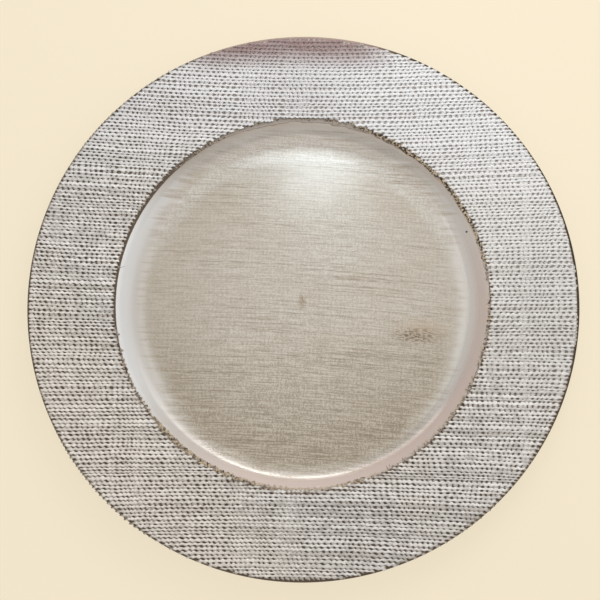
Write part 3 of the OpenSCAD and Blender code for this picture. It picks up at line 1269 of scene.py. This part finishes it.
# %% Panels of light
def panel(name, centre, aim, size, radiance, colour, mirrored=True):
    """A soft rectangular light that faces a point. Power = radiance x area x pi. Without mirrored, gloss
    doesn't show it."""
    light = bpy.data.lights.new(name, "AREA")
    light.shape = "RECTANGLE"
    light.size, light.size_y = size
    light.energy = radiance * size[0] * size[1] * math.pi
    light.color = colour
    lamp = bpy.data.objects.new(name, light)
    bpy.context.scene.collection.objects.link(lamp)
    lamp.location = centre
    direction = Vector(aim) - Vector(centre)
    lamp.rotation_mode = "QUATERNION"
    lamp.rotation_quaternion = direction.to_track_quat("-Z", "Y")
    lamp.visible_camera = False
    lamp.visible_glossy = mirrored
    print(f"{name}: {light.energy:.1f} W")


white = (1.0, 0.985, 0.96)
middle = (0.0, 0.0, 0.01)
panel("ceiling_lamp", (-0.005, 0.35, 1.0), (0.0, 0.08, 0.0), (0.10, 0.10), 13.0, (0.83, 0.95, 1.0))
panel("window_strip", (0.15, 0.57, 0.285), middle, (0.68, 0.042), 3.4, (0.93, 0.98, 1.0))
panel("window_end", (-0.35, 0.57, 0.30), middle, (0.34, 0.15), 0.55, white)
panel("window_glow", (0.21, 0.57, 0.40), middle, (0.95, 0.3), 0.3, white)
panel("side_panel", (0.28, 0.6, 0.66), middle, (0.5, 0.5), 4.0, white, mirrored=False)
panel("near_panel", (0.10, 0.17, 0.235), (0.08, 0.14, 0.0), (0.16, 0.16), 2.0, white, mirrored=False)
panel("west_panel", (-0.5, 0.05, 1.0), middle, (0.3, 0.3), 0.4, white)
panel("rosy_fill", (-0.28, 0.75, 0.15), middle, (1.1, 0.16), 0.34, (1.0, 0.66, 0.54))


# %% All-round light
def squared(value):
    """A value times itself, for sockets."""
    return value * value


def all_round_light():
    """A world that is brightest above and over the front and the back, with a faint ring at middle height
    and another low down, and brighter low at both sides, more so in the east. Each part is a power of how
    far a direction reaches along the part's own."""
    world = bpy.data.worlds.new("studio")
    bpy.context.scene.world = world
    world.use_nodes = True
    studio = Nodes(world.node_tree)
    direction = studio.node("ShaderNodeTexCoord", {}, {}, "Generated")
    side = studio.share(direction, (1, 0, 0))
    upright = studio.share(direction, (0, 0, 1))
    level = 1 - squared(upright)
    ring = 4 * level * squared(upright)
    low = level * squared(level)
    east = 0.5 * side + 0.5 * squared(side)
    above = squared(squared(squared(studio.share(direction, (0, -0.1, 0.995)))))
    over_front = squared(squared(studio.share(direction, (0, -0.64, 0.77))))
    over_back = squared(squared(squared(studio.share(direction, (0, 0.707, 0.707)))))
    strength = 0.28 + 0.34 * above + 0.46 * over_front + 0.26 * over_back
    strength = strength + 0.26 * ring + 0.1 * low + 0.26 * squared(squared(side)) + 0.14 * east * low
    background = world.node_tree.nodes["Background"]
    studio.fill(background, {"Color": (1.0, 0.975, 0.95, 1), "Strength": strength})
    print(f"{world.name}: {len(world.node_tree.nodes)} nodes")


all_round_light()

# %% [markdown]
# ## The camera
# The photograph was taken from almost straight above. How much the rim's outline is flattened, and how far
# the hole in the cloth is off its centre, give the camera's tilt and distance. The scale at the plate gives
# the lens.

# %% The view from above
image_pixels = 600
camera_distance = 0.850
camera_tilt = math.radians(9.1)
camera_turn = math.radians(9.2)
camera_roll = math.radians(0.98)
pixels_per_metre = 1663.0
target = Vector((0, 0, 0.012))
target_pixel = (302.4, 302.8)

back = Vector((
    math.sin(camera_tilt) * math.sin(camera_turn),
    -math.sin(camera_tilt) * math.cos(camera_turn),
    math.cos(camera_tilt),
))
level_right = Vector((0, 1, 0)).cross(back).normalized()
level_up = back.cross(level_right)
right = math.cos(camera_roll) * level_right + math.sin(camera_roll) * level_up
up = math.cos(camera_roll) * level_up - math.sin(camera_roll) * level_right
camera_data = bpy.data.cameras.new("camera")
camera = bpy.data.objects.new("camera", camera_data)
bpy.context.scene.collection.objects.link(camera)
turned = Matrix((right, up, back)).transposed().to_4x4()
camera.matrix_world = Matrix.Translation(target + back * camera_distance) @ turned
camera_data.lens = pixels_per_metre * camera_distance / image_pixels * camera_data.sensor_width
camera_data.shift_x = (image_pixels / 2 - target_pixel[0]) / image_pixels
camera_data.shift_y = (target_pixel[1] - image_pixels / 2) / image_pixels
bpy.context.scene.camera = camera
bpy.context.scene.view_settings.view_transform = "Standard"
print(f"Lens {camera_data.lens:.1f} mm")
